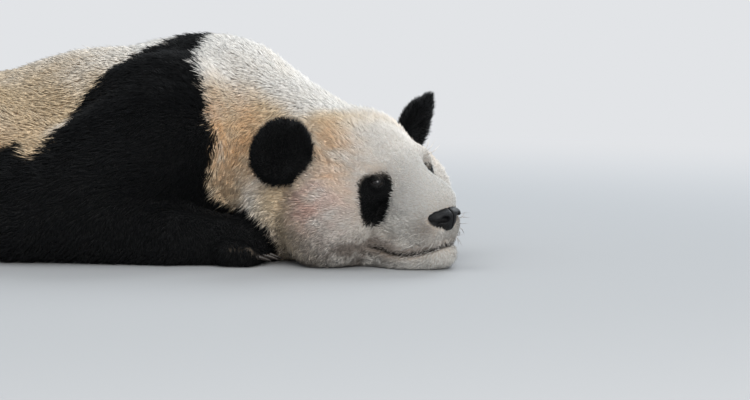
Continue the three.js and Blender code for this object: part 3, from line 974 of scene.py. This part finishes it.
def fur_material():
    nodes = material_nodes("coat_hair")
    chance, along = nodes.value("chance"), nodes.value("along")
    tone = nodes.ramp(chance, 0, 1, 0.88, 1.06, "LINEAR")
    # painted shade: each pale hair darker towards its root, times its own random tone
    shade = nodes.math("MULTIPLY", nodes.ramp(along, 0, 0.7, 0.82, 1.0), tone)
    pale = nodes.mix(1.0, nodes.value("tone", "Color"), nodes.grey(shade), "MULTIPLY")
    dark = nodes.mix(nodes.ramp(along, 0.3, 1.0), BLACK_FUR, BLACK_TIP)
    dark = nodes.mix(1.0, dark, nodes.grey(tone), "MULTIPLY")
    jitter = nodes.math("SUBTRACT", nodes.value("mask"), nodes.ramp(chance, 0, 1, 0.12, 0.88, "LINEAR"))
    base = nodes.mix(nodes.ramp(jitter, -0.10, 0.10), pale, dark)
    rough = nodes.ramp(chance, 0, 1, 0.50, 0.66, "LINEAR")
    return nodes.finish(base, rough, Specular_IOR_Level=0.11, Sheen_Weight=0.03, Sheen_Roughness=0.5)


def skin_material():
    nodes = material_nodes("skin_under_coat")
    pale = nodes.mix(0.45, nodes.value("tone", "Color"), UNDERFUR)
    base = nodes.mix(nodes.value("mask"), pale, BLACK_FUR)
    fine = nodes.noise(900, 2, 0.5)
    lip = nodes.mix(nodes.ramp(fine, 0.3, 0.7), colour(6, 6, 7), colour(18, 16, 16))
    base = nodes.mix(nodes.value("bare"), base, lip)
    rough = nodes.ramp(nodes.value("bare"), 0, 1, 0.85, 0.5, "LINEAR")
    return nodes.finish(base, rough, nodes.noise(420, 4, 0.6), 0.0006, Specular_IOR_Level=0.25)


# ---- pieces
def object_of(data, *materials):
    ob = bpy.data.objects.new(data.name, data)
    bpy.context.scene.collection.objects.link(ob)
    for material in materials:
        data.materials.append(material)
    return ob


skin = object_of(skin_mesh, skin_material())
COAT_MATERIAL = fur_material()


# the tufts that are repeated, one unit long and wide, bending over towards the skin (-x)
def tuft(name, root_ring, height, half, thick, lean, tip_bend):
    """A pointed lock with three sides, from a point at its root or from a small ring there."""
    ring = [(lean + thick, 0, height), (lean - thick / 2, half, height), (lean - thick / 2, -half, height)]
    verts = ring + [(tip_bend, 0, 1)]
    along = [height] * 3 + [1]
    faces = [(k, (k + 1) % 3, 3) for k in range(3)]
    if root_ring:
        faces.append((2, 1, 0))
    else:
        verts.append((0, 0, 0))
        along.append(0)
        faces += [((k + 1) % 3, k, 4) for k in range(3)]
    mesh = mesh_from(name, verts, faces)
    set_values(mesh, "along", along)
    corners = []
    for n in range(len(faces)):
        left, low = (n % 3) / 3 - 0.5, (n // 3) / 2 - 0.5
        corners += [(left, low), (left + 0.3, low), (left + 0.15, low + 0.45)]
    set_values(mesh, "patch", corners, "FLOAT2", "CORNER")
    return bpy.data.objects.new(name, mesh)


LONG_TUFT = tuft("long_tuft", False, 0.42, 0.5, 0.03, 0.05, -0.10)
SHORT_TUFT = tuft("short_tuft", True, 0, 0.5, 0.06, 0, -0.06)
CROWDING = 3  # roots tried for each one kept


def coat_tree():
    """Tufts over a bed: roots, the lie of the coat, then real meshes with each root's place kept."""
    tree = bpy.data.node_groups.new("coat_growth", "GeometryNodeTree")
    kinds_of = {"Bed": "Geometry", "Tuft": "Object", "Hair material": "Material", "Seed": "Int"}
    kinds_of.update(dict.fromkeys(("Spacing", "Most per area", "Stray", "Patch", "Lowest"), "Float"))
    for name, kind in kinds_of.items():
        tree.interface.new_socket(name, in_out="INPUT", socket_type="NodeSocket" + kind)
    tree.interface.new_socket("Coat", in_out="OUTPUT", socket_type="NodeSocketGeometry")

    def add(kind, *given, **settings):
        node = new_node(tree, kind, **settings)
        give(tree, node.inputs, *given)
        return node

    def add_named(kind, given, **settings):
        node = new_node(tree, kind, **settings)
        give(tree, [node.inputs[key] for key in given], *given.values())
        return node

    def number(how, *given):
        return add("ShaderNodeMath", *given, operation=how).outputs[0]

    def vector(how, *given):
        return add("ShaderNodeVectorMath", *given, operation=how).outputs[0]

    def scaled(a, scale):
        return vector("SCALE", a, None, None, scale)

    def named(name, kind="FLOAT"):
        return add("GeometryNodeInputNamedAttribute", name, data_type=kind).outputs[0]

    def chance(low, high, salt, kind="FLOAT"):
        node = new_node(tree, "FunctionNodeRandomValue", data_type=kind)
        sockets = {s.identifier: s for s in node.inputs}
        tail, size, output = ("_001", None, 1) if kind == "FLOAT" else ("", 3, 0)
        ends = [(end,) * size if size else end for end in (low, high)]
        seed = number("ADD", given["Seed"], salt)
        give(tree, [sockets["Min" + tail], sockets["Max" + tail], sockets["Seed"]], *ends, seed)
        return node.outputs[output]

    def keep(geometry, name, value, kind="FLOAT", domain="POINT"):
        node = add_named("GeometryNodeStoreNamedAttribute", {"Geometry": geometry, "Name": name},
                         data_type=kind, domain=domain)
        give(tree, [s for s in node.inputs if s.name == "Value" and s.enabled], value)
        return node.outputs[0]

    given = add("NodeGroupInput").outputs
    share = number("DIVIDE", named("hair_dense"), given["Most per area"])
    spread = add_named("GeometryNodeDistributePointsOnFaces", {
        "Mesh": given["Bed"], "Seed": given["Seed"], "Distance Min": given["Spacing"],
        "Density Max": given["Most per area"], "Density Factor": number("MULTIPLY", share, float(CROWDING)),
    }, distribute_method="POISSON")
    roots = keep(spread.outputs["Points"], "chance", chance(0, 1, 1))
    roots = keep(roots, "bed_normal", spread.outputs["Normal"], "FLOAT_VECTOR")
    normal = named("bed_normal", "FLOAT_VECTOR")
    stray = scaled(chance(-1, 1, 2, "FLOAT_VECTOR"), given["Stray"])
    way = vector("NORMALIZE", vector("ADD", named("lie", "FLOAT_VECTOR"), stray))
    lift = number("MULTIPLY", named("hair_lift"), chance(0.6, 1.5, 3))
    flat, rise = scaled(way, number("COSINE", lift)), scaled(normal, number("SINE", lift))
    aim = vector("NORMALIZE", vector("ADD", flat, rise))
    turned_to = add("FunctionNodeAxesToRotation", aim, normal, primary_axis="Z", secondary_axis="X")
    tall = number("MULTIPLY", named("hair_long"), chance(0.72, 1.2, 4))
    wide = number("MULTIPLY", named("hair_wide"), chance(0.7, 1.25, 5))
    size = add("ShaderNodeCombineXYZ", tall, wide, tall)
    template = add("GeometryNodeObjectInfo", given["Tuft"])
    place = add_named("GeometryNodeInstanceOnPoints", {
        "Points": roots, "Instance": template.outputs["Geometry"],
        "Rotation": turned_to.outputs[0], "Scale": size.outputs[0],
    })
    real = add("GeometryNodeRealizeInstances", place.outputs[0])
    x, y, z = add("ShaderNodeSeparateXYZ", add("GeometryNodeInputPosition").outputs[0]).outputs
    above = add("ShaderNodeCombineXYZ", x, y, number("MAXIMUM", z, given["Lowest"]))
    places = {"Geometry": real.outputs[0], "Position": above.outputs[0]}
    pressed = add_named("GeometryNodeSetPosition", places)
    patch = scaled(named("patch", "FLOAT_VECTOR"), given["Patch"])
    spot = vector("ADD", named("bed_uv", "FLOAT_VECTOR"), patch)
    coat = keep(pressed.outputs[0], "OFBake", spot, "FLOAT2", "CORNER")
    finish = add_named("GeometryNodeSetMaterial", {"Geometry": coat, "Material": given["Hair material"]})
    add("NodeGroupOutput", finish.outputs[0])
    return tree


COAT_TREE = coat_tree()
TUFT_PATCH = 0.003  # of the unwrap's square, for each tuft
# what the mesh of a coat piece keeps of its attributes
KEPT = {"position", "OFBake", "mask", "tone", "chance", "along", "sharp_face", "material_index",
        ".edge_verts", ".corner_vert", ".corner_edge"}


def region_of(p):
    """The name of the coat piece that covers each point."""
    h = to_frame(p, HEAD)
    x, on_head = p[:, 0], (head_form(p) < 2) & (h[:, 0] > -62)
    body_side, head_side = (np.where(q[:, 1] > 0, "_left", "_right") for q in (p, h))
    name = np.char.add("shoulder", body_side)
    for there, kind, side in (
        (x < -260, "back", body_side),
        (x < -560, "rump", body_side),
        (x > 10, "neck", body_side),
        (lower_hind(p) < -3, "hindleg", body_side),
        (lower_fore(p) < -3, "foreleg", body_side),
        (on_head, "cheek", head_side),
        (on_head & (h[:, 2] > 135), "crown", ""),
        (on_head & (h[:, 0] > 52), "face", head_side),
        (ears(p) < -1, "ear", head_side),
    ):
        name = np.where(there, np.char.add(kind, side), name)
    return name


def fit_unwrap(mesh):
    """The bed's unwrap, spread over the whole square."""
    ob = object_of(mesh)
    bpy.context.view_layer.objects.active = ob
    mesh.uv_layers.new(name="bed_uv")
    bpy.ops.object.mode_set(mode="EDIT")
    bpy.ops.mesh.select_all(action="SELECT")
    bpy.ops.uv.smart_project(angle_limit=70 * DEG, island_margin=0.004, scale_to_bounds=True)
    bpy.ops.object.mode_set(mode="OBJECT")
    places = mesh.uv_layers["bed_uv"].uv
    uv = rows_of(places, "vector", 2)
    low, high = uv.min(0), uv.max(0)
    uv = TUFT_PATCH + (uv - low) / (high - low) * (1 - 2 * TUFT_PATCH)
    places.foreach_set("vector", uv.ravel())
    return ob


def bed_of(name, chosen):
    """The part of the skin that one coat piece grows on."""
    mesh = bpy.data.meshes.new(name)
    with edited(skin_mesh, mesh) as bm:
        bmesh.ops.delete(bm, geom=[bm.faces[n] for n in np.flatnonzero(~chosen)], context="FACES")
    return fit_unwrap(mesh)


def grow(name, bed, template, spacing, most, stray, seed):
    for ob in bpy.context.selected_objects:
        ob.select_set(False)
    modifier = bed.modifiers.new("coat", "NODES")
    modifier.node_group = COAT_TREE
    given = {"Tuft": template, "Hair material": COAT_MATERIAL, "Spacing": spacing, "Most per area": most,
             "Stray": stray, "Patch": TUFT_PATCH, "Lowest": HAIR_FLOOR * MM, "Seed": seed}
    for item in COAT_TREE.interface.items_tree:
        if item.name in given:
            modifier[item.identifier] = given[item.name]
    graph = bpy.context.evaluated_depsgraph_get()
    mesh = bpy.data.meshes.new_from_object(bed.evaluated_get(graph), depsgraph=graph)
    bed_mesh = bed.data
    bpy.data.objects.remove(bed)
    bpy.data.meshes.remove(bed_mesh)
    mesh.name = name
    for layer in [a.name for a in mesh.attributes if a.name not in KEPT]:
        mesh.attributes.remove(mesh.attributes[layer])
    return object_of(mesh)


FEWEST_FACES = 12  # a region smaller than this gets no piece
STRAY = 0.22  # how far single hairs turn out of the lie
ROOT_GAP = 0.76  # the least distance between roots, as a share of an even spread's
FIRST_SEED = 100
face_middle = rows_of(skin_mesh.polygons, "center") / MM - SHIFT
regions = region_of(face_middle)
coats = {}
quick_share = 1.0
for n, name in enumerate(sorted(set(regions.tolist()))):
    chosen = regions == name
    if chosen.sum() < FEWEST_FACES:
        continue
    bed = bed_of("coat_" + name, chosen)
    template = SHORT_TUFT if name.startswith("ear") else LONG_TUFT
    most = max(d.value for d in bed.data.attributes["hair_dense"].data) * quick_share
    gap = ROOT_GAP / math.sqrt(most)
    coats[name] = grow("coat_" + name, bed, template, gap, CROWDING * most, STRAY, FIRST_SEED + n)


def whisker_bed():
    """The patches that whiskers and brow hairs stand on: the sides of the muzzle and over each eye."""
    h = to_frame(face_middle, HEAD)
    x, y, z = folded(h).T
    muzzle = (x > 136) & (x < 182) & (y > 20) & (y < 62) & (over_lips(h) > 8) & (z < 80)
    brow = length(folded(h) - np.add(EYE_AT, [-4, 6, 23])) < 10
    bed = bed_of("whisker_bed", (muzzle | brow) & (head_form(face_middle) < 6))
    for name, value in (("long", 30 * MM), ("wide", 0.55 * MM), ("lift", 32 * DEG), ("dense", 8000)):
        values = np.full(len(bed.data.vertices), value, np.float32)
        bed.data.attributes["hair_" + name].data.foreach_set("value", values)
    return bed


coats["whiskers"] = grow("whiskers", whisker_bed(), LONG_TUFT, spacing=0.006, most=24000, stray=0.3, seed=77)

# ---- eyes, nose, claws
def tube_faces(rows, around):
    """Faces between rows of points that run round a tube."""
    steps = [(i * around, k, (k + 1) % around) for i in range(rows) for k in range(around)]
    return [(i + a, i + b, i + b + around, i + a + around) for i, a, b in steps]


def closed_mesh(name, points, faces, near):
    """A mesh whose doubled points are joined and whose faces look outwards."""
    mesh = mesh_from(name, points.tolist(), faces)
    with edited(mesh, mesh) as bm:
        bmesh.ops.remove_doubles(bm, verts=bm.verts, dist=near)
        bmesh.ops.recalc_face_normals(bm, faces=bm.faces)
    mesh.shade_smooth()
    return mesh


def ball(name, place, radius, rings=20, around=32):
    """An eyeball with a bulging cornea, which knows how far each place is from the middle of its gaze."""
    verts = []
    for i in range(rings + 1):
        a = math.pi * i / rings
        for k in range(around):
            b = 2 * math.pi * k / around
            r = radius * (1 + 0.06 * math.exp(-((a / 0.55) ** 2)))
            verts.append((r * math.cos(a), r * math.sin(a) * math.cos(b), r * math.sin(a) * math.sin(b)))
    points = to_shared(from_frame(from_frame(np.array(verts), place), HEAD))
    mesh = closed_mesh(name, points, tube_faces(rings, around), 1e-6)
    looked = to_frame(to_frame(rows_of(mesh.vertices, "co") / MM - SHIFT, HEAD), place)
    set_values(mesh, "gaze", np.arctan2(length(looked[:, 1:]), looked[:, 0]))
    return mesh


def eye_material():
    nodes = material_nodes("eye_wet")
    gaze = nodes.value("gaze")
    iris = nodes.mix(nodes.ramp(nodes.noise(700, 3), 0.35, 0.7), colour(10, 7, 5), colour(20, 13, 9))
    base = nodes.mix(nodes.ramp(gaze, 0.24, 0.30), colour(3, 3, 4), iris)
    base = nodes.mix(nodes.ramp(gaze, 0.62, 0.74), base, colour(18, 14, 13))
    return nodes.finish(base, 0.12, Specular_IOR_Level=0.4, Coat_Weight=0.12, Coat_Roughness=0.05)


EYE_MATERIAL = eye_material()
eyeballs = {side: ball(f"eyeball_{side}", place, EYE_RADIUS) for side, place in EYE_PLACES.items()}
eyes = {side: object_of(mesh, EYE_MATERIAL) for side, mesh in eyeballs.items()}

nose_own = carve(
    2.0,
    carve(
        3,
        blend(8, egg([-2, 0, -2], [22, 31, 14]), egg([4, 0, -13], [12, 10, 12])),
        both_sides(1, blend(3, egg([14, 14, -5], [10, 7.5, 5.5]), egg([6, 24, -8], [9, 8, 3]))),
    ),
    lambda p: np.maximum(np.abs(p[..., 1]) - 0.8, 6 - p[..., 0]),
)
NOSE = frame_of(HEAD, Matrix.Translation(NOSE_AT))
nose_axes = [np.arange(-30, 30, 1.3), np.arange(-36, 36, 1.3), np.arange(-32, 30, 1.3)]
nose_points, nose_faces = net(nose_own, nose_axes)
nose_points = settled(nose_own, nose_points, 1.2)
nose_points = to_shared(from_frame(nose_points, NOSE))
nose_mesh = mesh_from("nose_pad", nose_points.tolist(), nose_faces.tolist())


def nose_material():
    nodes = material_nodes("nose_leather")
    cells = nodes.add("TexVoronoi")
    where = nodes.add("TexCoord").outputs["Object"]
    nodes.give([cells.inputs["Vector"], cells.inputs["Scale"]], where, 620)
    height = nodes.ramp(cells.outputs["Distance"], 0.0, 0.7, 1.0, 0.0)
    base = nodes.mix(nodes.ramp(nodes.noise(160), 0.35, 0.7), colour(4, 4, 6), colour(12, 12, 15))
    return nodes.finish(base, nodes.ramp(height, 0, 1, 0.56, 0.42), height, 0.0005, Specular_IOR_Level=0.28,
                        Coat_Weight=0.06, Coat_Roughness=0.35)


nose = object_of(nose_mesh, nose_material())


def claw_mesh(name, end, ahead, spread, side, steps=9, around=8):
    """The horn of a claw, higher than it is wide and bent down to its point."""
    verts = []
    heading = math.atan2(ahead[1], ahead[0]) + 0.16 * spread * side
    for i in range(steps):
        t = i / (steps - 1)
        r = CLAW_RADIUS * (1 - t) ** 0.75 * (1 + 0.25 * (1 - t))
        for k in range(around):
            a = 2 * math.pi * k / around
            side_way = r * 0.72 * math.cos(a)
            up = r * 1.15 * math.sin(a)
            x = t * (CLAW_LENGTH + CLAW_ROOT) - CLAW_ROOT
            verts.append((x, side_way, up - 9 * t * t + 3 * (1 - t) * t))
    turned_by = np.array(Matrix.Rotation(heading, 3, "Z"))
    p = (np.array(verts) + [8, 0, 0]) @ turned_by.T + np.array(end) - [0, 0, 3]
    p[:, 2] = np.maximum(p[:, 2], HAIR_FLOOR)
    faces = tube_faces(steps - 1, around) + [tuple(range(around))[::-1]]
    return closed_mesh(name, to_shared(p), faces, 1e-5)


def claw_material():
    nodes = material_nodes("claw_horn")
    streak = nodes.noise(260, 3, 0.6, (1, 1, 4))
    base = nodes.mix(nodes.ramp(streak, 0.35, 0.7), colour(26, 22, 20), colour(62, 54, 47))
    return nodes.finish(base, nodes.ramp(streak, 0, 1, 0.3, 0.48), streak, 0.0003, Specular_IOR_Level=0.5)


CLAW_MATERIAL = claw_material()
claws = []
for side, sign in SIDES.items():
    for foot, joints, front in (("forepaw", FORE_JOINTS, FORE_PALM), ("foot", HIND_JOINTS, HIND_PALM)):
        wrist, tip = (on_side(sign, q) for q in joints[2:])
        for n, (_, end, ahead, spread) in enumerate(toe_places(wrist, tip, front)):
            node = f"claw_{foot}_{side}_{n + 1}"
            horn = claw_mesh(node + "_horn", end, ahead, spread, sign)
            claws.append((object_of(horn, CLAW_MATERIAL), node))

# ---- fixing the pieces to the frame
PAIRED = ("ear", "upper_arm", "forearm", "forepaw", "thigh", "shank", "foot")
FLESH = ["head", "jaw", "neck", "trunk", "tail"] + [f"{part}_{side}" for side in SIDES for part in PAIRED]
BLACK_PIECES = ("ear", "foreleg", "hindleg", "shoulder")


def fix(piece, slot, *nodes):
    """Holds a piece to the body and hides the solids that it stands for. The slot is not used."""
    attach(piece, "root")
    if nodes:
        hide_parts(*nodes)


fix(skin, "fur_white", *FLESH)
for name, piece in coats.items():
    fix(piece, "fur_black" if name.startswith(BLACK_PIECES) else "fur_white")
for side, piece in eyes.items():
    fix(piece, "eye", f"eye_{side}")
fix(nose, "nose", "nose")
for piece, node in claws:
    fix(piece, "claw", node)

# ---- floor, light and camera
FLOOR_HALF = 30
floor_corners = [(x * FLOOR_HALF, y * FLOOR_HALF, 0) for x, y in ((-1, -1), (1, -1), (1, 1), (-1, 1))]
floor_mesh = mesh_from("floor", floor_corners, [(0, 1, 2, 3)])
BACKDROP = colour(226, 228, 231)


def floor_material():
    """A pale floor that runs out into the backdrop for the camera, with no line between them."""
    nodes = material_nodes("pale_floor")
    nodes.finish(colour(165, 166, 167), 0.9, Specular_IOR_Level=0.1)
    lit = nodes.out.inputs["Surface"].links[0].from_socket
    glow = nodes.add("Emission")
    glow.inputs["Color"].default_value = BACKDROP
    away = nodes.add("VectorMath", operation="LENGTH")
    nodes.give(away.inputs, nodes.add("TexCoord").outputs["Object"])
    far = nodes.ramp(away.outputs["Value"], 1.0, 3.2)
    far = nodes.math("MULTIPLY", far, nodes.add("LightPath").outputs["Is Camera Ray"])
    nodes.either(far, lit, glow.outputs[0])
    return nodes.owner


object_of(floor_mesh, floor_material())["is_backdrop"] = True

world = bpy.data.worlds.new("studio")
bpy.context.scene.world = world
sky = Nodes(world, "OutputWorld")
shown, lighting = sky.add("Background"), sky.add("Background")
sky.give(shown.inputs, BACKDROP, 1.0)
sky.give(lighting.inputs, (0.86, 0.93, 1.0, 1), 0.76)
sky.either(sky.add("LightPath").outputs["Is Camera Ray"], lighting.outputs[0], shown.outputs[0])


def aimed(data, at, way):
    rotation = way.to_track_quat("-Z", "Y")
    ob = object_of(data)
    return with_settings(ob, location=at, rotation_mode="QUATERNION", rotation_quaternion=rotation)


def lamp(name, at, aim, size, power, tint):
    data = bpy.data.lights.new(name, "AREA")
    with_settings(data, shape="DISK", size=size, energy=power, color=tint)
    aimed(data, at, Vector(aim) - Vector(at))


lamp("sky_behind", (0.9, 3.4, 3.2), (0.3, 0, 0.2), 3.0, 140, (0.92, 0.96, 1.0))
lamp("overhead", (-0.4, -0.8, 3.4), (0.1, 0, 0.2), 2.6, 34, (1.0, 0.99, 0.97))
lamp("front_fill", (2.2, -3.2, 1.7), (0.2, -0.1, 0.15), 2.6, 96, (1.0, 0.97, 0.93))

AZIMUTH = 18 * DEG
ELEVATION = 5 * DEG
DISTANCE = 3.2
FOCAL_LENGTH = 101.4
NOSE_RIGHT, NOSE_UP = 0.103, -0.0277  # where the nose stands in the view, in metres from its middle
level = math.cos(ELEVATION)
ahead = Vector((-math.sin(AZIMUTH) * level, math.cos(AZIMUTH) * level, -math.sin(ELEVATION)))
right = Vector((math.cos(AZIMUTH), math.sin(AZIMUTH), 0))
up = right.cross(ahead)
nose_low, nose_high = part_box("nose")
aim = (nose_low + nose_high) / 2 - right * NOSE_RIGHT - up * NOSE_UP
camera_data = with_settings(bpy.data.cameras.new("camera"), sensor_width=36, lens=FOCAL_LENGTH)
bpy.context.scene.camera = aimed(camera_data, aim - ahead * DISTANCE, ahead)
bpy.context.scene.view_settings.view_transform = "Standard"

low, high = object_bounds()
